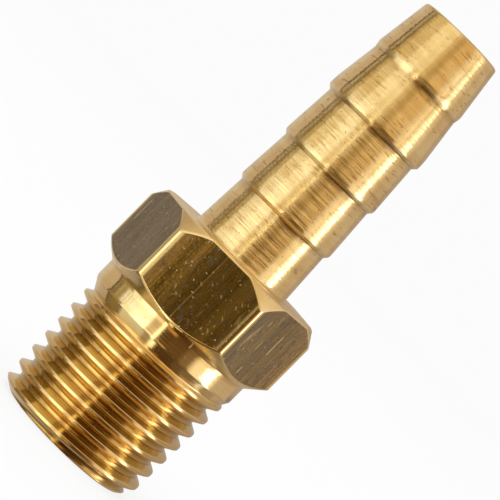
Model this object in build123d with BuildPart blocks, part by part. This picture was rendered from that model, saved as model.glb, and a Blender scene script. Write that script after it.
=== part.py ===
from build123d import *
import math
import os

# Hose barb tail, turned from one length of hexagon bar. All sizes are in millimetres.
# It stands on the end face of its thread, with the axis on Z and the hose tip up.

# Taper pipe thread
thread_pitch = 25.4 / 18
thread_taper = 1 / 16
thread_end_radius = 6.37
thread_depth = 0.72
thread_flank_angle = 30
thread_crest_width = 0.26
thread_section_height = 10.55
turns_below_end_face = 1.13
end_rim_inset = 0.08
end_chamfer_angle = 35

# Plain collar between the thread and the hexagon
collar_step = 0.09
collar_height = 1.5
neck_chamfer_angle = 30

# Wrench hexagon with turned chamfers at both ends
hex_across_flats = 14.29
hex_height = 6.6
hex_edge_rounding = 0.5
hex_bottom_chamfer_angle = 40
hex_top_chamfer_angle = 56
hex_top_face_beyond_flats = 0.235

# Hose shank and barbs
shank_base_radius = 4.44
shank_base_flare = 0.5
shank_length = 4.65
barb_pitch = 4.6
barb_step_height = 0.3
barb_crest_radius = 4.48
barb_depth = 0.28
third_barb_crest_radius = 4.54
third_barb_depth = 0.5
third_barb_shoulder_height = 0.9
third_barb_shoulder_drop = 0.04
tip_barb_crest_radius = 4.14
tip_barb_depth = 0.59
tip_edge_rounding = 0.45

# Bore through the whole tail
bore_radius = 2.75
bore_end_chamfer = 0.3

# Heights that follow from the sizes above
hex_bottom = thread_section_height + collar_height
hex_top = hex_bottom + hex_height
first_barb_crest = hex_top + shank_length
second_barb_crest = first_barb_crest + barb_pitch
third_barb_crest = second_barb_crest + barb_pitch
tip_barb_crest = third_barb_crest + barb_pitch
tip_height = tip_barb_crest + barb_pitch

# Thread core, and the neck cone that rises from it to the collar. Core and ridge start
# below the end face, and the end face is cut afterwards.
radius_per_height = thread_taper / 2
core_start = -2.5 * thread_pitch
core_end_radius = thread_end_radius - thread_depth
core_start_radius = core_end_radius + radius_per_height * core_start
core_top_radius = core_end_radius + radius_per_height * thread_section_height
collar_radius = core_top_radius + thread_depth + collar_step
neck_slope = math.tan(math.radians(neck_chamfer_angle))
neck_height = (collar_radius - core_top_radius) / (neck_slope - radius_per_height)
neck_bottom = thread_section_height - neck_height
neck_bottom_radius = core_end_radius + radius_per_height * neck_bottom

# Thread ridge: its flanks run on into the core
ridge_start = -turns_below_end_face * thread_pitch
ridge_end = thread_section_height + collar_height / 2
ridge_radius = thread_end_radius + radius_per_height * ridge_start
taper_angle = math.degrees(math.atan(radius_per_height))
flank = math.radians(thread_flank_angle)
foot_radius = ridge_radius - 1.3 * thread_depth
crest_half_width = thread_crest_width / 2
foot_half_width = crest_half_width + (ridge_radius - foot_radius) * math.tan(flank)

# Radii and heights of the chamfer cones
end_rim_radius = core_end_radius - end_rim_inset
end_cut_height = 2 * thread_depth
end_cut_radius = end_rim_radius + end_cut_height / math.tan(math.radians(end_chamfer_angle))
hex_corner_radius = hex_across_flats / math.sqrt(3)
hex_top_face_radius = hex_across_flats / 2 + hex_top_face_beyond_flats
hex_bottom_slope = math.tan(math.radians(hex_bottom_chamfer_angle))
hex_top_slope = math.tan(math.radians(hex_top_chamfer_angle))
corner_bottom = hex_bottom + (hex_corner_radius - collar_radius) * hex_bottom_slope
corner_top = hex_top - (hex_corner_radius - hex_top_face_radius) * hex_top_slope
tip_radius = tip_barb_crest_radius - tip_barb_depth

# The tip edge and the foot of the shank are rounded in two straight steps each
rounding_share = 1 - math.sqrt(0.5)
tip_bevel_rise = tip_edge_rounding * rounding_share
shank_flare_rise = shank_base_flare * rounding_share

with BuildPart() as hexagon:
    with BuildSketch(Plane.XY.offset(hex_bottom)):
        RegularPolygon(radius=hex_across_flats / 2, side_count=6, major_radius=False)
        fillet(vertices(), radius=hex_edge_rounding)
    extrude(amount=hex_height)
    with BuildSketch(Plane.YZ):
        with BuildLine():
            Polyline(
                (0, hex_bottom),
                (collar_radius, hex_bottom),
                (hex_corner_radius, corner_bottom),
                (hex_corner_radius, corner_top),
                (hex_top_face_radius, hex_top),
                (0, hex_top),
                close=True,
            )
        make_face()
    revolve(axis=Axis.Z, mode=Mode.INTERSECT)

with BuildPart() as hose_tail:
    # Thread core, neck cone and collar
    with BuildSketch(Plane.YZ):
        with BuildLine():
            Polyline(
                (0, core_start),
                (core_start_radius, core_start),
                (neck_bottom_radius, neck_bottom),
                (collar_radius, thread_section_height),
                (collar_radius, hex_bottom),
                (0, hex_bottom),
                close=True,
            )
        make_face()
    revolve(axis=Axis.Z)

    # Thread ridge wound round the core
    with BuildLine() as ridge_line:
        Helix(
            pitch=thread_pitch,
            height=ridge_end - ridge_start,
            radius=ridge_radius,
            center=(0, 0, ridge_start),
            cone_angle=taper_angle,
        )
    with BuildSketch(Plane.XZ) as ridge_section:
        with BuildLine():
            Polyline(
                (ridge_radius, ridge_start - crest_half_width),
                (ridge_radius, ridge_start + crest_half_width),
                (foot_radius, ridge_start + foot_half_width),
                (foot_radius, ridge_start - foot_half_width),
                close=True,
            )
        make_face()
    sweep(ridge_section.sketch, path=ridge_line.line, is_frenet=True)

    # Flat end face, and the turned chamfer across the first turn
    with BuildSketch(Plane.YZ):
        with BuildLine():
            Polyline(
                (0, 0),
                (end_rim_radius, 0),
                (end_cut_radius, end_cut_height),
                (end_cut_radius, 2 * core_start),
                (0, 2 * core_start),
                close=True,
            )
        make_face()
    revolve(axis=Axis.Z, mode=Mode.SUBTRACT)

    add(hexagon.part)

    # Shank and four barbs, from the hexagon to the tip
    with BuildSketch(Plane.YZ):
        with BuildLine():
            Polyline(
                (0, hex_bottom),
                (0, tip_height),
                (tip_radius - tip_edge_rounding, tip_height),
                (tip_radius - tip_bevel_rise, tip_height - tip_bevel_rise),
                (tip_radius, tip_height - tip_edge_rounding),
                (tip_barb_crest_radius, tip_barb_crest),
                (third_barb_crest_radius - third_barb_depth, tip_barb_crest - barb_step_height),
                (
                    third_barb_crest_radius - third_barb_shoulder_drop,
                    third_barb_crest + third_barb_shoulder_height,
                ),
                (third_barb_crest_radius, third_barb_crest),
                (barb_crest_radius - barb_depth, third_barb_crest - barb_step_height),
                (barb_crest_radius, second_barb_crest),
                (barb_crest_radius - barb_depth, second_barb_crest - barb_step_height),
                (barb_crest_radius, first_barb_crest),
                (barb_crest_radius - barb_depth, first_barb_crest - barb_step_height),
                (shank_base_radius, hex_top + shank_base_flare),
                (shank_base_radius + shank_flare_rise, hex_top + shank_flare_rise),
                (shank_base_radius + shank_base_flare, hex_top),
                (shank_base_radius + shank_base_flare, hex_bottom),
                close=True,
            )
        make_face()
    revolve(axis=Axis.Z)

    # Through bore, chamfered at both ends
    with BuildSketch(Plane.YZ):
        with BuildLine():
            Polyline(
                (0, -bore_end_chamfer),
                (bore_radius + 2 * bore_end_chamfer, -bore_end_chamfer),
                (bore_radius, bore_end_chamfer),
                (bore_radius, tip_height - bore_end_chamfer),
                (bore_radius + 2 * bore_end_chamfer, tip_height + bore_end_chamfer),
                (0, tip_height + bore_end_chamfer),
                close=True,
            )
        make_face()
    revolve(axis=Axis.Z, mode=Mode.SUBTRACT)

hose_tail.part.label = "hose_tail"
os.makedirs("parts", exist_ok=True)
export_step(hose_tail.part, "parts/hose_tail.step")
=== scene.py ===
import math

import bmesh
import bpy
import numpy as np
from mathutils import Matrix, Vector


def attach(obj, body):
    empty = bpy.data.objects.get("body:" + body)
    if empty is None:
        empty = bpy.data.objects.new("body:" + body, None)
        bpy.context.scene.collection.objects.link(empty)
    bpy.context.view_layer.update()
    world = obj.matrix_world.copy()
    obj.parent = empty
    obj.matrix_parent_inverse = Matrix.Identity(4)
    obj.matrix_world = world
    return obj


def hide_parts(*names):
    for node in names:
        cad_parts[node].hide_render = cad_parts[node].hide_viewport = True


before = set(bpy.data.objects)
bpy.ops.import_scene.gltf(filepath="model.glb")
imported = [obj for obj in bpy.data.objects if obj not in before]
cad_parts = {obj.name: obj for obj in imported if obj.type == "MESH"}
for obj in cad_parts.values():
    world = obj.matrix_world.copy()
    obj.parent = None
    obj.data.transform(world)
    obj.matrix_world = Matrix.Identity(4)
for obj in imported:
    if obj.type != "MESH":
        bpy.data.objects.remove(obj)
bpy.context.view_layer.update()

MM = 0.001

# Sizes of the tail, in millimetres, the same as the solid has
thread_pitch = 25.4 / 18
thread_taper = 1 / 16
thread_end_radius = 6.37
thread_depth = 0.72
thread_flank_angle = 30
thread_crest_width = 0.26
thread_section_height = 10.55
turns_below_end_face = 1.13
end_rim_inset = 0.08
end_chamfer_angle = 35
collar_step = 0.09
collar_height = 1.5
neck_chamfer_angle = 30
hex_across_flats = 14.29
hex_height = 6.6
hex_edge_rounding = 0.5
hex_bottom_chamfer_angle = 40
hex_top_chamfer_angle = 56
hex_top_face_beyond_flats = 0.235
shank_base_radius = 4.44
shank_base_flare = 0.5
shank_length = 4.65
barb_pitch = 4.6
barb_step_height = 0.3
barb_crest_radius = 4.48
barb_depth = 0.28
third_barb_crest_radius = 4.54
third_barb_depth = 0.5
third_barb_shoulder_height = 0.9
third_barb_shoulder_drop = 0.04
tip_barb_crest_radius = 4.14
tip_barb_depth = 0.59
tip_edge_rounding = 0.45
bore_radius = 2.75
bore_end_chamfer = 0.3

# Rounding of the thread's edges, and the turned-in lower lip of each barb. The solid has neither.
thread_crest_round = 0.07
thread_root_round = 0.11
lip_height = 0.22
tip_lip_height = 0.286
lip_drop = 0.03
lip_round = 0.8
barb_corner_round = 0.06
shoulder_round = 1.5

# Bevels of the worn edges
bevel = 0.03
bore_edge_margin = 0.05
tip_edge_margin = 0.04
edge_break = 0.07
edge_inset = 0.018
top_edge_width = 0.08

# Wear of the edges, with a painted highlight on them, from none (0) to bright (1)
neck_edge_wear_and_highlight = 0.6
chamfer_wear_and_highlight = 0.8
corner_wear_and_highlight_peak = 1.25
corner_wear_and_highlight_reach = 3.2
crest_wear_and_highlight_reach = 0.05

# Painted shade in the corners under the collar and the barbs
collar_painted_shade = 0.2
painted_shade_below_crest = 0.26
painted_shade_reach = 0.10

# Fineness of the mesh. The turns of the thread's grid run past both ends of its section.
columns_in_rounding = 9
columns_between = 41
thread_turns = 11
thread_step = 0.24
barb_step = 0.45
join_gap = 0.004

# Heights and radii that follow from the sizes above
hex_bottom = thread_section_height + collar_height
hex_top = hex_bottom + hex_height
first_crest = hex_top + shank_length
second_crest = first_crest + barb_pitch
third_crest = second_crest + barb_pitch
tip_crest = third_crest + barb_pitch
tip_height = tip_crest + barb_pitch
tip_radius = tip_barb_crest_radius - tip_barb_depth
half_flats = hex_across_flats / 2
top_face_radius = half_flats + hex_top_face_beyond_flats
radius_per_height = thread_taper / 2
core_end_radius = thread_end_radius - thread_depth
core_top_radius = core_end_radius + radius_per_height * thread_section_height
collar_radius = core_top_radius + thread_depth + collar_step
neck_slope = math.tan(math.radians(neck_chamfer_angle))
end_rim_radius = core_end_radius - end_rim_inset


# Half a side of the hexagon as an angle, and the end of a corner's rounding, from that corner
half_sector = math.radians(30)
flat_half_width = (half_flats - hex_edge_rounding) * math.tan(half_sector)
rounding_end = half_sector - math.atan(flat_half_width / half_flats)


# The body is one skin over a grid of angles and rows, so it closes on itself through the bore.
def column_angles():
    """Angles round the axis: close together at the six rounded edges of the hexagon."""
    near = np.linspace(-rounding_end, rounding_end, columns_in_rounding)
    far = np.linspace(rounding_end, 2 * half_sector - rounding_end, columns_between)[1:-1]
    sector = np.concatenate([near, far])
    return np.concatenate([sector + 2 * half_sector * k for k in range(6)])


angles = column_angles()
columns = len(angles)
from_corner = np.abs((angles + half_sector) % (2 * half_sector) - half_sector)


def hexagon_radius():
    """Distance from the axis to the side of the hexagon, with rounded edges."""
    flat = half_flats / np.cos(half_sector - from_corner)
    centre = (half_flats - hex_edge_rounding) / math.cos(half_sector)
    under = np.maximum(hex_edge_rounding ** 2 - (centre * np.sin(from_corner)) ** 2, 0)
    rounded = centre * np.cos(from_corner) + np.sqrt(under)
    return np.where(from_corner < rounding_end, rounded, flat)


def rounded_line(points, segments=5):
    """Points (across, along, rounding) joined by straight runs, with an arc at each corner."""
    line = []
    for i, (radius, height, rounding) in enumerate(points):
        here = np.array([radius, height])
        if rounding == 0 or i in (0, len(points) - 1):
            line.append(here)
            continue
        before = np.array(points[i - 1][:2]) - here
        after = np.array(points[i + 1][:2]) - here
        before_length = np.linalg.norm(before)
        after_length = np.linalg.norm(after)
        before = before / before_length
        after = after / after_length
        half_angle = math.acos(float(np.clip(before @ after, -1, 1))) / 2
        reach = min(rounding / math.tan(half_angle), 0.45 * before_length, 0.45 * after_length)
        for share in np.linspace(0, 1, segments):
            start = here + before * reach * (1 - share)
            end = here + after * reach * share
            line.append(start + (end - start) * share)
    return line


def thread_profile():
    """One turn of the thread, as offsets along the axis and drops below the crest."""
    flank_reach = thread_depth * math.tan(math.radians(thread_flank_angle))
    crest_edge = thread_crest_width / 2
    line = rounded_line([
        (-thread_pitch / 2, thread_depth, 0),
        (-crest_edge - flank_reach, thread_depth, thread_root_round),
        (-crest_edge, 0, thread_crest_round),
        (crest_edge, 0, thread_crest_round),
        (crest_edge + flank_reach, thread_depth, thread_root_round),
        (thread_pitch / 2, thread_depth, 0),
    ], segments=4)
    profile = []
    for here, after in zip(line[:-1], line[1:]):
        steps = max(1, round(float(np.linalg.norm(after - here)) / thread_step))
        for share in np.linspace(0, 1, steps, endpoint=False):
            profile.append(here + (after - here) * share)
    return np.array(profile)


def thread_rows(profile):
    """Radius, height, share of the drop and place in the turn of each point along the helix."""
    offset = np.tile(profile[:, 0], thread_turns)[:, None]
    drop = np.tile(profile[:, 1], thread_turns)[:, None]
    turn = np.repeat(np.arange(thread_turns), len(profile))[:, None]
    height = (turn - turns_below_end_face + angles / (2 * math.pi)) * thread_pitch + offset
    ridge = thread_end_radius + radius_per_height * height - drop
    neck = collar_radius - (thread_section_height - height) * neck_slope
    chamfer = end_rim_radius + height / math.tan(math.radians(end_chamfer_angle))
    radius = np.minimum(np.maximum(ridge, neck), chamfer)
    recess = drop / thread_depth * (ridge > neck)
    place = np.broadcast_to(offset / thread_pitch * 2 * math.pi, height.shape)
    return radius, height, recess, place


rows = []


def per_column(value):
    return np.broadcast_to(np.asarray(value, float), (columns,)).copy()


def add_row(radius, height, zone, wear_and_highlight=0.0, painted_shade=0.0):
    rows.append((per_column(radius), per_column(height), zone, per_column(wear_and_highlight), per_column(painted_shade)))


# Materials, in the order of the mesh's slots
TURNED, DRAWN, BORE = 0, 1, 2

# Lower bore edge, end face and its rim
bore_edge_radius = bore_radius + bore_end_chamfer
for height in (9.0, 2.5, bore_end_chamfer + bore_edge_margin):
    add_row(bore_radius, height, BORE)
add_row(bore_radius + bevel, bore_end_chamfer - bevel, BORE)
add_row(bore_edge_radius - bevel, bevel, TURNED, wear_and_highlight=1)
add_row(bore_edge_radius + bore_edge_margin, 0, TURNED, wear_and_highlight=1)
for radius in np.linspace(bore_edge_radius + 0.3, end_rim_radius - 0.12, 4):
    add_row(radius, 0, TURNED)
add_row(end_rim_radius - bevel, 0, TURNED, wear_and_highlight=1)
add_row(end_rim_radius, 0, TURNED, wear_and_highlight=1)
rim_row = len(rows) - 1

# The threaded section comes between the rim and the next row. The collar, the hexagon and its
# chamfer cones follow.
hex_radius = hexagon_radius()
corner_wear_and_highlight = np.clip(corner_wear_and_highlight_peak - np.degrees(from_corner) / corner_wear_and_highlight_reach, 0, 1)
lower_slope = math.tan(math.radians(hex_bottom_chamfer_angle))
upper_slope = math.tan(math.radians(hex_top_chamfer_angle))
lower_edge = hex_bottom + (hex_radius - collar_radius) * lower_slope
top_radius = np.minimum(hex_radius, top_face_radius)
upper_edge = hex_top - (hex_radius - top_radius) * upper_slope
neck_edge_height = thread_section_height - bevel
add_row(collar_radius - bevel * neck_slope, neck_edge_height, TURNED, wear_and_highlight=neck_edge_wear_and_highlight)
add_row(collar_radius, thread_section_height + 0.04, TURNED, wear_and_highlight=neck_edge_wear_and_highlight)
for height in np.linspace(thread_section_height + 0.2, hex_bottom - 0.12, 6):
    add_row(collar_radius, height, TURNED)
add_row(collar_radius + bevel / 2, hex_bottom - bevel, TURNED, painted_shade=collar_painted_shade)
for share in (0.04, 0.12, 0.3, 0.5, 0.7, 0.85):
    add_row(
        collar_radius + (hex_radius - collar_radius) * share,
        hex_bottom + (lower_edge - hex_bottom) * share,
        TURNED,
        painted_shade=collar_painted_shade if share < 0.1 else 0.0,
    )
chamfer_end_height = lower_edge - edge_break * lower_slope
add_row(hex_radius - edge_break, chamfer_end_height, TURNED, wear_and_highlight=chamfer_wear_and_highlight)
add_row(hex_radius - edge_inset, lower_edge + 0.01, TURNED, wear_and_highlight=1)
add_row(hex_radius, lower_edge + edge_break, DRAWN, wear_and_highlight=1)
for share in np.linspace(0.012, 0.988, 17):
    flat_height = lower_edge + edge_break + (upper_edge - lower_edge - 2 * edge_break) * share
    add_row(hex_radius, flat_height, DRAWN, wear_and_highlight=corner_wear_and_highlight)
add_row(hex_radius, upper_edge - edge_break, DRAWN, wear_and_highlight=1)
add_row(hex_radius - edge_inset, upper_edge - 0.012, TURNED, wear_and_highlight=1)
chamfer_start = hex_radius - 0.04
chamfer_end = np.minimum(top_radius + 0.04, hex_radius - 0.06)
for share in (0, 0.15, 0.35, 0.6, 0.85, 1):
    cone_radius = chamfer_start + (chamfer_end - chamfer_start) * share
    cone_height = np.minimum(hex_top, hex_top - (cone_radius - top_face_radius) * upper_slope)
    add_row(cone_radius, cone_height, TURNED, wear_and_highlight=chamfer_wear_and_highlight if share in (0, 1) else 0)
add_row(top_radius - top_edge_width, hex_top, TURNED, wear_and_highlight=chamfer_wear_and_highlight)
flare_radius = shank_base_radius + shank_base_flare
for radius in np.linspace(half_flats - 0.2, flare_radius + 0.2, 6):
    add_row(radius, hex_top, TURNED)

# Shank and barbs
barb_valley = barb_crest_radius - barb_depth
third_valley = third_barb_crest_radius - third_barb_depth
shoulder_radius = third_barb_crest_radius - third_barb_shoulder_drop


def barb(valley, crest_radius, crest, lip=lip_height):
    """Valley below a barb, its crest and the top of its lip."""
    return [
        (valley, crest - barb_step_height, barb_corner_round),
        (crest_radius - lip_drop, crest, barb_corner_round),
        (crest_radius, crest + lip, lip_round),
    ]


outline = rounded_line([
    (flare_radius + 0.1, hex_top, 0),
    (shank_base_radius, hex_top, shank_base_flare),
    *barb(barb_valley, barb_crest_radius, first_crest),
    *barb(barb_valley, barb_crest_radius, second_crest),
    *barb(barb_valley, third_barb_crest_radius, third_crest),
    (shoulder_radius, third_crest + third_barb_shoulder_height, shoulder_round),
    *barb(third_valley, tip_barb_crest_radius, tip_crest, tip_lip_height),
    (tip_radius, tip_height, tip_edge_rounding),
    (bore_edge_radius + tip_edge_margin, tip_height, 0),
])
crest_heights = np.array([first_crest, second_crest, third_crest, tip_crest])
for here, after in zip(outline[:-1], outline[1:]):
    steps = max(1, int(np.linalg.norm(after - here) / barb_step))
    for share in np.linspace(0, 1, steps, endpoint=False):
        radius, height = here + (after - here) * share
        from_crest = np.abs(crest_heights - height).min()
        from_painted_shade = np.abs(crest_heights - painted_shade_below_crest - height).min()
        wear_and_highlight = math.exp(-(from_crest / crest_wear_and_highlight_reach) ** 2)
        painted_shade = math.exp(-(from_painted_shade / painted_shade_reach) ** 2)
        add_row(radius, height, TURNED, wear_and_highlight=wear_and_highlight, painted_shade=painted_shade)

# Upper bore edge and the bore wall
add_row(bore_edge_radius + tip_edge_margin, tip_height, TURNED, wear_and_highlight=1)
add_row(bore_edge_radius - bevel, tip_height - bevel, BORE, wear_and_highlight=1)
add_row(bore_radius + bevel, tip_height - bore_end_chamfer + bevel, BORE)
add_row(bore_radius, tip_height - bore_end_chamfer - bore_edge_margin, BORE)
for height in np.linspace(tip_height - 3, 12, 6):
    add_row(bore_radius, height, BORE)


def skin(name):
    """Mesh of all the rows and the thread, closed round the axis and through the bore."""
    count = len(rows)
    ring_index = np.arange(count * columns).reshape(count, columns)

    # Closed rows, joined one to the next all the way round through the bore
    faces = []
    zones = []
    for i in range(count):
        if i == rim_row:
            continue
        lower = ring_index[i]
        upper = ring_index[(i + 1) % count]
        faces += np.stack([lower, np.roll(lower, -1), np.roll(upper, -1), upper], axis=-1).tolist()
        same_zone = rows[i][2] == rows[(i + 1) % count][2]
        zones += [rows[i][2] if same_zone else TURNED] * columns

    # Thread rows. A point past either end of the section becomes the point of the row there.
    profile = thread_profile()
    radius, height, recess, place = thread_rows(profile)
    thread_index = np.arange(radius.size).reshape(radius.shape) + count * columns
    rim, neck_edge = ring_index[rim_row], ring_index[rim_row + 1]
    thread_index = np.where(height <= join_gap, rim, thread_index)
    thread_index = np.where(height >= neck_edge_height - join_gap, neck_edge, thread_index)
    per_turn = len(profile)
    joined = len(thread_index) - per_turn
    wrapped = np.concatenate([thread_index[:joined, 1:], thread_index[per_turn:, :1]], axis=1)
    start = thread_index[:joined]
    quads = np.stack([start[:-1], wrapped[:-1], wrapped[1:], start[1:]], axis=-1).reshape(-1, 4)
    for quad in quads.tolist():
        corners = list(dict.fromkeys(quad))
        if len(corners) > 2:
            faces.append(corners)
            zones.append(TURNED)

    # Thread crests get a little wear with a painted highlight
    crest_wear_and_highlight = np.where(recess < 0.03, 0.1, 0.0) * (radius < collar_radius)
    values = {
        "radius": np.concatenate([row[0] for row in rows] + [radius.ravel()]),
        "height": np.concatenate([row[1] for row in rows] + [height.ravel()]),
        "wear_and_highlight": np.concatenate([row[3] for row in rows] + [crest_wear_and_highlight.ravel()]),
        "painted_shade": np.concatenate([row[4] for row in rows] + [np.zeros(radius.size)]),
        "recess": np.concatenate([np.zeros(count * columns), recess.ravel()]),
        "turn_x": np.concatenate([np.zeros(count * columns), np.cos(place).ravel()]),
        "turn_y": np.concatenate([np.zeros(count * columns), np.sin(place).ravel()]),
    }
    used = np.zeros(len(values["radius"]), dtype=bool)
    used[[corner for face in faces for corner in face]] = True
    new_index = np.cumsum(used) - 1
    faces = [[int(new_index[corner]) for corner in face] for face in faces]
    values = {label: value[used] for label, value in values.items()}
    angle = np.tile(angles, count + len(radius))[used]
    across = values["radius"]
    points = np.stack([across * np.cos(angle), across * np.sin(angle), values["height"]], axis=-1)

    mesh = bpy.data.meshes.new(name)
    mesh.from_pydata((points * MM).tolist(), [], faces)
    mesh.polygons.foreach_set("material_index", np.array(zones, dtype=np.int32))
    mesh.polygons.foreach_set("use_smooth", np.ones(len(faces), dtype=bool))
    for label in ("wear_and_highlight", "painted_shade", "recess", "turn_x", "turn_y"):
        layer = mesh.attributes.new(label, "FLOAT", "POINT")
        layer.data.foreach_set("value", values[label])
    mesh.update()
    mesh.validate()
    return mesh


tail_mesh = skin("hose_tail_turned")
tail = bpy.data.objects.new("hose_tail_turned", tail_mesh)
bpy.context.scene.collection.objects.link(tail)


class Nodes:
    """Short calls for building a node tree."""

    def __init__(self, tree):
        self.tree = tree
        tree.nodes.clear()

    def add(self, kind, **values):
        node = self.tree.nodes.new(kind)
        for key, value in values.items():
            setattr(node, key, value)
        return node

    def join(self, source, target):
        self.tree.links.new(source, target)

    def put(self, socket, value):
        if isinstance(value, bpy.types.NodeSocket):
            self.join(value, socket)
        else:
            socket.default_value = value

    def math(self, operation, *values):
        node = self.add("ShaderNodeMath", operation=operation)
        for socket, value in zip(node.inputs, values):
            self.put(socket, value)
        return node.outputs[0]

    def times(self, a, b):
        return self.math("MULTIPLY", a, b)

    def plus(self, a, b):
        return self.math("ADD", a, b)

    def minus(self, a, b):
        return self.math("SUBTRACT", a, b)

    def times_plus(self, a, b, c):
        return self.math("MULTIPLY_ADD", a, b, c)

    def mix(self, share, first, second):
        """Mix of two colours, each a socket or three numbers."""
        node = self.add("ShaderNodeMix", data_type="RGBA")
        self.put(node.inputs["Factor"], share)
        for socket, colour in zip(node.inputs[6:8], (first, second)):
            self.put(socket, (*colour, 1) if isinstance(colour, tuple) else colour)
        return node.outputs[2]

    def mix_value(self, share, first, second):
        node = self.add("ShaderNodeMix", data_type="FLOAT")
        sockets = (node.inputs[0], node.inputs[2], node.inputs[3])
        for socket, value in zip(sockets, (share, first, second)):
            self.put(socket, value)
        return node.outputs[0]

    def span(self, value, low, high, new_low, new_high):
        node = self.add("ShaderNodeMapRange", interpolation_type="SMOOTHSTEP")
        for socket, number in zip(node.inputs[:5], (value, low, high, new_low, new_high)):
            self.put(socket, number)
        return node.outputs[0]

    def noise(self, vector, scale, detail=2.0, roughness=0.5):
        node = self.add("ShaderNodeTexNoise")
        self.put(node.inputs["Vector"], vector)
        self.put(node.inputs["Scale"], scale)
        self.put(node.inputs["Detail"], detail)
        self.put(node.inputs["Roughness"], roughness)
        return node.outputs[0]

    def band(self, value, low, high, edge):
        """One between low and high, and zero outside, with soft edges."""
        rising = self.span(value, low - edge, low + edge, 0.0, 1.0)
        falling = self.span(value, high - edge, high + edge, 1.0, 0.0)
        return self.times(rising, falling)

    def split(self, vector):
        node = self.add("ShaderNodeSeparateXYZ")
        self.join(vector, node.inputs[0])
        return node.outputs

    def vector(self, x, y, z):
        node = self.add("ShaderNodeCombineXYZ")
        for socket, value in zip(node.inputs, (x, y, z)):
            self.put(socket, value)
        return node.outputs[0]

    def bump(self, height, strength, distance):
        node = self.add("ShaderNodeBump")
        node.inputs["Strength"].default_value = strength
        node.inputs["Distance"].default_value = distance
        self.put(node.inputs["Height"], height)
        return node.outputs[0]


class Metal(Nodes):
    """A new metal with its shader, and the object's own coordinates, which are in metres."""

    def __init__(self, name):
        self.material = bpy.data.materials.new(name)
        self.material.use_nodes = True
        super().__init__(self.material.node_tree)
        output = self.add("ShaderNodeOutputMaterial")
        self.shader = self.add("ShaderNodeBsdfPrincipled")
        self.join(self.shader.outputs[0], output.inputs["Surface"])
        self.shader.inputs["Metallic"].default_value = 1.0
        self.place = self.add("ShaderNodeTexCoord").outputs["Object"]
        self.x, self.y, self.z = self.split(self.place)
        squares = self.plus(self.times(self.x, self.x), self.times(self.y, self.y))
        self.reach = self.math("SQRT", squares)
        self.round_x = self.math("DIVIDE", self.x, self.reach)
        self.round_y = self.math("DIVIDE", self.y, self.reach)

    def attribute(self, name):
        return self.add("ShaderNodeAttribute", attribute_name=name).outputs["Fac"]

    def stretched(self, across, along, detail, roughness):
        """Noise with its own scale across and along the axis."""
        x = self.times(self.x, across)
        y = self.times(self.y, across)
        spot = self.vector(x, y, self.times(self.z, along))
        return self.noise(spot, 1.0, detail, roughness)

    def near(self, centre, inner, outer, strength):
        """Share that fades with the distance from a place on X."""
        gap = self.math("ABSOLUTE", self.minus(self.x, centre))
        return self.span(gap, inner, outer, strength, 0.0)


# Heights in metres where the turned surface changes and where the painted reflection at the neck
# lies, and a small nick under the hexagon, painted near white as a glint
ringed_bottom = (hex_top + 0.05) * MM
ringed_full = (hex_top + 0.65) * MM
threaded_top = (thread_section_height - 0.75) * MM
threaded_end = (thread_section_height - 0.15) * MM
neck_reflection_bottom = threaded_end
neck_reflection_top = (thread_section_height + 0.55) * MM
dull_chamfer_bottom = 0.0172
nick_side, nick_height = (0.00218, 0.00230), (0.0119, 0.0124)


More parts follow.
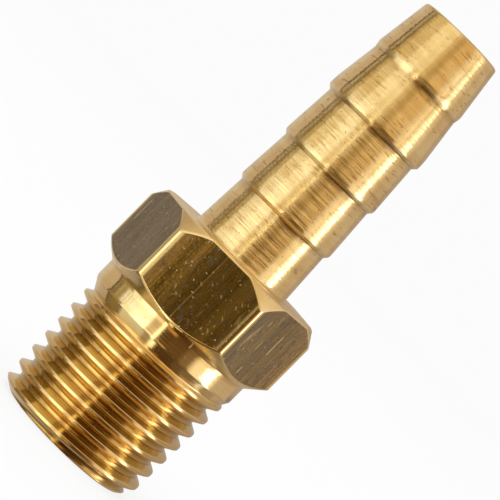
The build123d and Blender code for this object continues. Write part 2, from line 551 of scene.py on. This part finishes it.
def turned_brass():
    """Bright turned brass: rings, tool marks along the thread, pits, worn edges and crests with a
    painted highlight, painted shade in the corners and the thread's grooves, a painted dark
    reflection at the neck and a nick painted as a glint.
    """
    nodes = Metal("brass_turned")
    x, y, z, round_x, round_y = nodes.x, nodes.y, nodes.z, nodes.round_x, nodes.round_y
    along = nodes.plus(z, nodes.times(nodes.reach, 0.7))

    def rings(around, per_metre, detail, roughness):
        spot = nodes.vector(
            nodes.times(round_x, around),
            nodes.times(round_y, around),
            nodes.times(along, per_metre))
        return nodes.noise(spot, 1.0, detail, roughness)

    def tool_place(name, side):
        return nodes.times_plus(nodes.attribute(name), 3.2, nodes.times(side, 0.6))

    fine_rings = rings(1.8, 10000, 3.0, 0.6)
    wide_rings = rings(0.9, 1500, 2.0, 0.5)
    dark_rings = rings(2.6, 3400, 3.0, 0.65)
    coarse_rings = rings(1.3, 4200, 1.0, 0.5)
    patches = nodes.noise(nodes.place, 420.0, 3.0, 0.6)
    pits = nodes.span(nodes.noise(nodes.place, 4200.0, 2.0, 0.5), 0.69, 0.74, 0.0, 1.0)
    tool_spot = nodes.vector(
        tool_place("turn_x", round_x), tool_place("turn_y", round_y), nodes.times(z, 250))
    tool_marks = nodes.noise(tool_spot, 1.0, 3.0, 0.6)
    wear_and_highlight = nodes.attribute("wear_and_highlight")
    # Share of the thread's depth below its crest. It paints shade into the thread: flanks deeper,
    # roots darkest.
    recess = nodes.attribute("recess")
    painted_shade = nodes.attribute("painted_shade")
    upper = nodes.span(z, ringed_bottom, ringed_full, 0.0, 1.0)
    threaded = nodes.span(z, threaded_top, threaded_end, 1.0, 0.0)

    # Shares of each mark, laid one over the other
    streaks = nodes.times(nodes.span(dark_rings, 0.58, 0.68, 0.0, 0.7), upper)
    marks = nodes.times(nodes.span(tool_marks, 0.50, 0.64, 0.0, 0.7), threaded)
    # Painted shade under the collar and the barbs, heavier where X lies between 0 and 3 mm
    painted_shade_side = nodes.band(x, -0.0001, 0.0030, 0.0003)
    painted_shade_share = nodes.times(painted_shade, nodes.mix_value(painted_shade_side, 0.35, 0.95))
    # Painted dark reflection at the right end of the neck, under the collar
    neck_height = nodes.band(z, neck_reflection_bottom, neck_reflection_top, 0.0003)
    neck_dark_reflection = nodes.times(neck_height, nodes.span(round_x, 0.95, 0.985, 0.0, 0.8))
    # A small nick, painted near white as a glint and made rough
    nick_and_glint = nodes.times(nodes.band(x, *nick_side, 0.00003), nodes.band(z, *nick_height, 0.0001))
    nick_and_glint = nodes.times(nick_and_glint, nodes.span(y, -0.001, 0.0, 1.0, 0.0))
    patchy = nodes.span(patches, 0.35, 0.65, 0.0, 1.0)
    colour = nodes.mix(patchy, (0.89, 0.69, 0.34), (0.94, 0.76, 0.42))
    for share, paint in (
        (nodes.span(wide_rings, 0.40, 0.65, 0.0, 0.42), (0.74, 0.51, 0.22)),
        (streaks, (0.52, 0.33, 0.13)),
        (nodes.times(threaded, 0.8), (0.82, 0.60, 0.29)),
        (marks, (0.54, 0.35, 0.15)),
        (nodes.span(recess, 0.0, 0.3, 0.0, 0.9), (0.80, 0.61, 0.27)),
        (nodes.span(recess, 0.74, 0.94, 0.0, 0.9), (0.50, 0.32, 0.11)),
        (painted_shade_share, (0.24, 0.13, 0.04)),
        (nodes.times(pits, 0.5), (0.22, 0.14, 0.06)),
        (nodes.times(wear_and_highlight, 0.5), (0.96, 0.84, 0.56)),
        (neck_dark_reflection, (0.36, 0.16, 0.05)),
        (nick_and_glint, (1.0, 0.93, 0.78)),
    ):
        colour = nodes.mix(share, colour, paint)
    nodes.join(colour, nodes.shader.inputs["Base Color"])

    haze = nodes.span(fine_rings, 0.42, 0.62, 0.0, 1.0)
    smooth_part = nodes.times_plus(haze, 0.06, 0.09)
    ringed_part = nodes.times_plus(haze, 0.08, 0.13)
    rough = nodes.mix_value(upper, smooth_part, ringed_part)
    rough = nodes.plus(rough, nodes.times(pits, 0.25))
    rough = nodes.mix_value(nodes.times(wear_and_highlight, upper), rough, 0.24)
    dull_chamfer = nodes.band(z, dull_chamfer_bottom, ringed_bottom, 0.0001)
    rough = nodes.mix_value(dull_chamfer, rough, 0.36)
    nodes.join(nodes.mix_value(nick_and_glint, rough, 0.6), nodes.shader.inputs["Roughness"])
    nodes.join(nodes.mix_value(upper, 0.4, 1.0), nodes.shader.inputs["Anisotropic"])
    nodes.shader.inputs["Anisotropic Rotation"].default_value = 0.25
    tangent = nodes.add("ShaderNodeTangent", direction_type="RADIAL", axis="Z")
    nodes.join(tangent.outputs[0], nodes.shader.inputs["Tangent"])

    relief = nodes.plus(fine_rings, nodes.times(dark_rings, -0.8))
    relief = nodes.times(relief, nodes.mix_value(upper, 0.8, 4.0))
    relief = nodes.plus(relief, nodes.times(nodes.times(wide_rings, upper), 8.0))
    relief = nodes.plus(relief, nodes.times(nodes.times(coarse_rings, upper), 9.0))
    relief = nodes.minus(relief, nodes.times(pits, 0.8))
    relief = nodes.plus(relief, nodes.times(nodes.times(tool_marks, threaded), 2.5))
    nodes.join(nodes.bump(relief, 0.5, 0.000006), nodes.shader.inputs["Normal"])
    return nodes.material


# Single scratches along the flats: place on X, lower end and upper end, in millimetres
long_scratches = [
    (-7.69, 15.3, 17.25),
    (6.37, 15.2, 17.0),
    (5.78, 12.85, 13.45),
    (5.12, 16.9, 17.35),
]
scratch_half_width = 0.03


def drawn_brass():
    """Dull skin of drawn bar on the flats: streaks along the axis, dark specks and scratches,
    painted glints, painted reflections that set the tone of each flat and bands on the front one,
    and worn edges with a painted highlight.
    """
    nodes = Metal("brass_drawn")
    x, y, z, round_x = nodes.x, nodes.y, nodes.z, nodes.round_x
    fine_streaks = nodes.stretched(7000, 130, 3.0, 0.7)
    wide_streaks = nodes.stretched(1500, 45, 3.0, 0.6)
    blotches = nodes.stretched(1400, 700, 4.0, 0.65)
    grain = nodes.stretched(9000, 6000, 2.0, 0.6)
    specks = nodes.span(nodes.stretched(4300, 3600, 2.0, 0.5), 0.66, 0.73, 0.0, 1.0)
    glints = nodes.span(nodes.stretched(6500, 4200, 1.0, 0.5), 0.72, 0.78, 0.0, 1.0)
    rubs = nodes.span(nodes.stretched(2600, 240, 2.0, 0.5), 0.68, 0.72, 0.0, 1.0)
    blue_spots = nodes.span(nodes.stretched(2300, 2000, 2.0, 0.5), 0.60, 0.68, 0.0, 1.0)

    # Slanting scratches
    sides = nodes.plus(x, y)
    scratch_spot = nodes.vector(
        nodes.plus(nodes.times(sides, 1500), nodes.times(z, 1300)),
        nodes.times(nodes.minus(sides, z), 420),
        nodes.times(nodes.noise(nodes.place, 260.0, 2.0, 0.5), 6))
    scratches = nodes.span(nodes.noise(scratch_spot, 2.2, 2.0, 0.5), 0.66, 0.70, 0.0, 1.0)
    wear_and_highlight = nodes.attribute("wear_and_highlight")

    # Painted reflection: the front flat is dark olive, the others grey, warmer on the right and
    # more orange toward the outer right
    front_flat = nodes.span(nodes.round_y, -0.94, -0.80, 1.0, 0.0)
    skin_dark = nodes.mix(front_flat, (0.215, 0.175, 0.115), (0.085, 0.052, 0.010))
    warm_side = nodes.span(round_x, 0.4, 0.9, 0.0, 1.0)
    skin_light = nodes.mix(warm_side, (0.335, 0.265, 0.165), (0.36, 0.25, 0.11))
    outer_right = nodes.span(x, 0.0058, 0.0080, 0.0, 0.6)
    skin_light = nodes.mix(outer_right, skin_light, (0.60, 0.37, 0.14))
    skin_light = nodes.mix(front_flat, skin_light, (0.36, 0.215, 0.055))
    tone = nodes.times_plus(fine_streaks, 0.55, nodes.times(wide_streaks, 0.45))
    tone = nodes.times_plus(grain, 0.35, tone)
    colour = nodes.mix(nodes.span(tone, 0.53, 0.83, 0.0, 1.0), skin_dark, skin_light)

    # Painted reflections at their own places on the front flat: a dark patch round the middle, a
    # lighter band and a dark band near its right edge. Then lines at their own places, and the
    # marks spread over the flats.
    front_dark_reflection = nodes.times(nodes.near(0.0012, 0.0015, 0.0036, 0.74), front_flat)
    front_light_reflection = nodes.times(nodes.band(x, 0.0019, 0.0027, 0.0003), nodes.times(front_flat, 0.25))
    front_edge_dark_reflection = nodes.times(nodes.band(x, 0.0030, 0.0042, 0.0002), nodes.times(front_flat, 0.5))
    rub_line = nodes.times(nodes.near(-0.00028, 0.00002, 0.00009, 0.5), front_flat)
    middle_gap = nodes.math("ABSOLUTE", nodes.plus(x, 0.0002))
    blue_share = nodes.times(blue_spots, nodes.span(middle_gap, 0.0004, 0.0022, 0.6, 0.1))
    for share, paint in (
        (front_dark_reflection, (0.062, 0.036, 0.006)),
        (front_light_reflection, (0.30, 0.19, 0.045)),
        (front_edge_dark_reflection, (0.062, 0.036, 0.006)),
        (nodes.span(blotches, 0.52, 0.72, 0.0, 0.45), (0.085, 0.080, 0.060)),
        (rub_line, (0.30, 0.20, 0.08)),
        (blue_share, (0.095, 0.10, 0.11)),
        (nodes.times(specks, 0.7), (0.05, 0.055, 0.06)),
        (nodes.times(rubs, nodes.mix_value(front_flat, 0.5, 0.15)), (0.70, 0.54, 0.30)),
        (nodes.times(scratches, 0.4), (0.62, 0.46, 0.22)),
        (nodes.times(glints, 0.8), (0.90, 0.80, 0.60)),
    ):
        colour = nodes.mix(share, colour, paint)
    in_front = nodes.span(y, -0.0004, 0.0, 1.0, 0.0)
    half_width = scratch_half_width * MM
    for middle, lowest, highest in long_scratches:
        left, right_end = middle * MM - half_width, middle * MM + half_width
        line = nodes.band(x, left, right_end, half_width)
        line = nodes.times(line, nodes.band(z, lowest * MM, highest * MM, 0.1 * MM))
        line = nodes.times(line, in_front)
        colour = nodes.mix(nodes.times(line, 0.75), colour, (0.80, 0.64, 0.38))
    # Worn edges: brighter brass and smoother, with a painted highlight along them
    edge = nodes.span(wear_and_highlight, 0.1, 0.8, 0.0, 1.0)
    colour = nodes.mix(nodes.times(edge, 0.92), colour, (0.93, 0.74, 0.36))
    nodes.join(colour, nodes.shader.inputs["Base Color"])

    rough = nodes.span(fine_streaks, 0.35, 0.65, 0.30, 0.44)
    nodes.join(nodes.mix_value(edge, rough, 0.14), nodes.shader.inputs["Roughness"])
    relief = nodes.plus(fine_streaks, nodes.times(glints, 0.8))
    relief = nodes.minus(relief, nodes.times(scratches, 0.6))
    nodes.join(nodes.bump(relief, 0.5, 0.000004), nodes.shader.inputs["Normal"])
    return nodes.material


def bore_brass():
    """Drilled wall of the bore, a little darker, with coarse rings."""
    nodes = Metal("brass_bore")
    spot = nodes.vector(nodes.round_x, nodes.round_y, nodes.times(nodes.z, 5000))
    rings = nodes.noise(spot, 1.0, 3.0, 0.6)
    ring_share = nodes.span(rings, 0.3, 0.7, 0.0, 1.0)
    colour = nodes.mix(ring_share, (0.62, 0.44, 0.19), (0.80, 0.60, 0.28))
    nodes.join(colour, nodes.shader.inputs["Base Color"])
    nodes.join(nodes.span(rings, 0.3, 0.7, 0.28, 0.42), nodes.shader.inputs["Roughness"])
    nodes.join(nodes.bump(rings, 0.5, 0.00001), nodes.shader.inputs["Normal"])
    return nodes.material


for material in (turned_brass(), drawn_brass(), bore_brass()):
    tail_mesh.materials.append(material)
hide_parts("hose_tail")
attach(tail, "root")

# Camera at the photograph's angle, rolled so that the hose tip points up to the right
camera_azimuth = math.radians(4.0)
camera_distance = 200.0
camera_height = 28.5
aim_height = 19.64
aim_side = -0.05
camera_roll = math.radians(44.7)
camera_lens = 195.5
camera_data = bpy.data.cameras.new("camera")
camera_data.sensor_width = 36.0
camera_data.lens = camera_lens
camera_data.clip_start = 0.01
camera_data.clip_end = 10.0
camera = bpy.data.objects.new("camera", camera_data)
bpy.context.scene.collection.objects.link(camera)
cosine = math.cos(camera_azimuth)
sine = math.sin(camera_azimuth)
toward = Vector((sine, -cosine, 0))
sideways = Vector((cosine, sine, 0)) * aim_side * MM
eye = toward * camera_distance * MM + Vector((0, 0, camera_height * MM)) + sideways
look = (Vector((0, 0, aim_height * MM)) + sideways - eye).normalized()
right = look.cross(Vector((0, 0, 1))).normalized()
above = right.cross(look)
camera_right = right * math.cos(camera_roll) + above * math.sin(camera_roll)
camera_above = above * math.cos(camera_roll) - right * math.sin(camera_roll)
turn = Matrix((camera_right, camera_above, -look)).transposed().to_4x4()
camera.matrix_world = Matrix.Translation(eye) @ turn
bpy.context.scene.camera = camera

# White world: it lights the floor, and the camera sees it as the background
paper_white = 0.972
world = bpy.data.worlds.new("studio")
bpy.context.scene.world = world
world.use_nodes = True
world_nodes = Nodes(world.node_tree)
world_output = world_nodes.add("ShaderNodeOutputWorld")
background = world_nodes.add("ShaderNodeBackground")
background.inputs["Color"].default_value = (1, 1, 1, 1)
seen = world_nodes.add("ShaderNodeLightPath").outputs["Is Camera Ray"]
world_nodes.join(world_nodes.mix_value(seen, 1.0, paper_white), background.inputs["Strength"])
world_nodes.join(background.outputs[0], world_output.inputs["Surface"])

# Plain white floor. The camera sees it near the paper white, with a light shadow.
floor_reach = 0.9
floor_drop = 0.00002
floor_glow = 0.86
floor_mesh = bpy.data.meshes.new("floor")
floor_mesh.from_pydata(
    [(-floor_reach, -floor_reach, 0), (floor_reach, -floor_reach, 0),
     (floor_reach, floor_reach, 0), (-floor_reach, floor_reach, 0)],
    [], [(0, 1, 2, 3)])
floor = bpy.data.objects.new("floor", floor_mesh)
bpy.context.scene.collection.objects.link(floor)
floor.location.z = -floor_drop
floor_material = bpy.data.materials.new("floor_white")
floor_material.use_nodes = True
floor_nodes = Nodes(floor_material.node_tree)
floor_output = floor_nodes.add("ShaderNodeOutputMaterial")
floor_paint = floor_nodes.add("ShaderNodeBsdfDiffuse")
floor_paint.inputs["Color"].default_value = (0.93, 0.93, 0.93, 1)
floor_light = floor_nodes.add("ShaderNodeEmission")
floor_light.inputs["Strength"].default_value = paper_white
floor_mix = floor_nodes.add("ShaderNodeMixShader")
floor_seen = floor_nodes.add("ShaderNodeLightPath").outputs["Is Camera Ray"]
floor_nodes.join(floor_nodes.times(floor_seen, floor_glow), floor_mix.inputs[0])
floor_nodes.join(floor_paint.outputs[0], floor_mix.inputs[1])
floor_nodes.join(floor_light.outputs[0], floor_mix.inputs[2])
floor_nodes.join(floor_mix.outputs[0], floor_output.inputs["Surface"])
floor_mesh.materials.append(floor_material)
floor.visible_glossy = False

# Studio dome: what the metal mirrors. Each strip runs from one bearing to another, in degrees to
# the right of the camera, has a soft edge, and reaches from one elevation to another. A later
# strip covers the ones before it. The peak is the strength that a colour of one stands for.
dome_radius = 0.5
dome_height = 0.02
dome_peak = 12.0
elevation_edge = 4
bearing_spread = 0.0055
room_colour = (0.60, 0.50, 0.42)
dome_strips = [
    (-181, -128, 4, -90, 90, (0.64, 0.58, 0.52)),
    (-99.5, -95, 1, -90, 3, (0.13, 0.09, 0.05)),
    (-94, -87.5, 1, -90, 3, (0.24, 0.19, 0.11)),
    (-87.5, -75, 1.5, -90, 3, (0.50, 0.42, 0.26)),
    (-82, -80, 0.6, -90, 3, (0.28, 0.23, 0.13)),
    (-107, -101, 1.8, 3, 60, (0.11, 0.08, 0.04)),
    (-95, -86, 2.5, 3, 60, (0.24, 0.19, 0.10)),
    (-86, -74, 1.5, 3, 60, (0.62, 0.49, 0.28)),
    (-75, -24, 2.5, -90, 60, (1.32, 1.38, 1.45)),
    (-90, -65, 3, -90, -8, (0.36, 0.27, 0.12)),
    (-72, -70, 0.5, -8, 3, (0.72, 0.58, 0.32)),
    (-66.5, -64, 0.5, -8, 3, (0.80, 0.66, 0.38)),
    (-61, -59.5, 0.5, -8, 3, (0.82, 0.70, 0.44)),
    (-65, -22, 3, -90, -8, (1.20, 1.12, 0.86)),
    (-48, -20, 4, -25, -8, (2.60, 2.32, 1.60)),
    (-96, -45, 8, -90, -62, (0.95, 0.78, 0.46)),
    (-74, -50, 2.5, 3, 60, (0.94, 0.79, 0.50)),
    (-50, -20, 4, 3, 60, (1.16, 1.13, 1.04)),
    (-78, -48, 4, 9, 60, (0.72, 0.56, 0.33)),
    (-48, -32, 4, 9, 60, (0.98, 0.84, 0.60)),
    (-24, -12.5, 2, -90, 3, (0.64, 0.50, 0.36)),
    (-24, -12.5, 2, -25, -9, (1.35, 1.03, 0.62)),
    (-11.5, -7.5, 0.6, -90, 3, (2.80, 2.50, 1.70)),
    (-11.5, -7.5, 0.6, -8, 3, (1.90, 1.75, 1.25)),
    (-6.5, 46, 2.5, -90, 3, (0.13, 0.07, 0.027)),
    (-6.5, 9, 2.5, -25, -9, (0.62, 0.37, 0.13)),
    (-6.5, 46, 2.5, -90, -25, (0.16, 0.085, 0.03)),
    (31, 46, 4, -90, 3, (0.24, 0.15, 0.075)),
    (-5.5, 9, 1, -8, 3, (0.05, 0.025, 0.01)),
    (-20, 3, 1, 3, 60, (0.80, 0.62, 0.39)),
    (-32, -8, 3, 9, 60, (1.02, 0.90, 0.66)),
    (3, 18, 2, 3, 60, (0.32, 0.20, 0.08)),
    (3, 18, 2, 9, 60, (0.72, 0.52, 0.27)),
    (3, 18, 2, 15, 60, (0.62, 0.45, 0.23)),
    (18, 46, 3, 3, 60, (0.66, 0.47, 0.24)),
    (18, 46, 3, 9, 60, (1.05, 0.78, 0.46)),
    (18, 46, 3, 15, 60, (0.80, 0.58, 0.32)),
    (46, 71, 3, -30, 60, (0.82, 0.67, 0.49)),
    (46, 73, 3, -90, -30, (0.36, 0.25, 0.14)),
    (50.5, 52.5, 0.8, 3, 60, (1.15, 0.96, 0.74)),
    (50, 66, 2, -20, 3, (1.12, 0.95, 0.74)),
    (57, 65, 1.5, 3, 60, (1.22, 1.06, 0.84)),
    (66, 91, 2, -25, 3, (0.95, 0.84, 0.68)),
    (66, 110, 3, -90, -25, (0.50, 0.40, 0.28)),
    (88, 135, 3, -25, -9, (0.44, 0.36, 0.27)),
    (71, 86, 2, 3, 60, (1.15, 1.05, 0.88)),
    (85, 98, 2, 3, 60, (0.80, 0.67, 0.56)),
    (73, 84, 1.5, -25, 3, (3.20, 3.10, 2.90)),
    (67, 82, 1.2, -7.5, 3, (3.60, 3.50, 3.30)),
    (73, 82, 2, -60, -25, (1.30, 1.22, 1.15)),
    (73.5, 84.5, 1, 3, 9, (3.20, 3.10, 2.80)),
    (77, 81, 1, 3, 9, (7.0, 7.0, 6.6)),
    (-9, -3, 2, -90, -58, (3.2, 2.9, 2.0)),
    (135, 181, 6, -90, 90, (0.46, 0.38, 0.32)),
]


def studio_dome():
    """A ball round the tail that only mirrored light sees, darker toward the floor."""
    mesh = bpy.data.meshes.new("studio_dome")
    shape = bmesh.new()
    bmesh.ops.create_uvsphere(shape, u_segments=96, v_segments=48, radius=dome_radius)
    shape.to_mesh(mesh)
    shape.free()
    dome = bpy.data.objects.new("studio_dome", mesh)
    bpy.context.scene.collection.objects.link(dome)
    dome.location.z = dome_height
    material = bpy.data.materials.new("studio_dome")
    material.use_nodes = True
    nodes = Nodes(material.node_tree)
    output = nodes.add("ShaderNodeOutputMaterial")
    light = nodes.add("ShaderNodeEmission")
    nodes.join(light.outputs[0], output.inputs["Surface"])

    # Bearing from the camera's side, drawn together toward the floor, and elevation, in degrees
    x, y, z = nodes.split(nodes.add("ShaderNodeTexCoord").outputs["Object"])
    right_share = nodes.plus(nodes.times(x, cosine), nodes.times(y, sine))
    front_share = nodes.minus(nodes.times(x, sine), nodes.times(y, cosine))
    bearing = nodes.math("DEGREES", nodes.math("ARCTAN2", right_share, front_share))
    elevation = nodes.math("DEGREES", nodes.math("ARCSINE", nodes.times(z, 1 / dome_radius)))
    below = nodes.math("MINIMUM", elevation, 0.0)
    bearing = nodes.times(bearing, nodes.times_plus(below, bearing_spread, 1.0))

    def shown(colour):
        return tuple(value / dome_peak for value in colour)

    colour = shown(room_colour)
    for left, right_end, edge, lowest, highest, strip_colour in dome_strips:
        across = nodes.band(bearing, left, right_end, edge)
        upright = nodes.band(elevation, lowest, highest, elevation_edge)
        colour = nodes.mix(nodes.times(across, upright), colour, shown(strip_colour))
    low_dim = nodes.span(elevation, -70, -8, 0.55, 1.0)
    colour = nodes.mix(low_dim, (0, 0, 0), colour)
    nodes.join(colour, light.inputs["Color"])
    light.inputs["Strength"].default_value = dome_peak
    mesh.materials.append(material)
    dome.visible_camera = False
    dome.visible_diffuse = False
    dome.visible_shadow = False


studio_dome()

# Soft lamp from above, for the shadow on the floor
lamp_data = bpy.data.lights.new("softbox", "AREA")
lamp_data.shape = "RECTANGLE"
lamp_data.size = 0.5
lamp_data.size_y = 0.5
lamp_data.energy = 1.0
lamp = bpy.data.objects.new("softbox", lamp_data)
bpy.context.scene.collection.objects.link(lamp)
lamp.location = (-0.15, -0.15, 0.6)
lamp.rotation_euler = (Vector((0, 0, 0)) - lamp.location).to_track_quat("-Z", "Y").to_euler()

bpy.context.scene.view_settings.view_transform = "Standard"
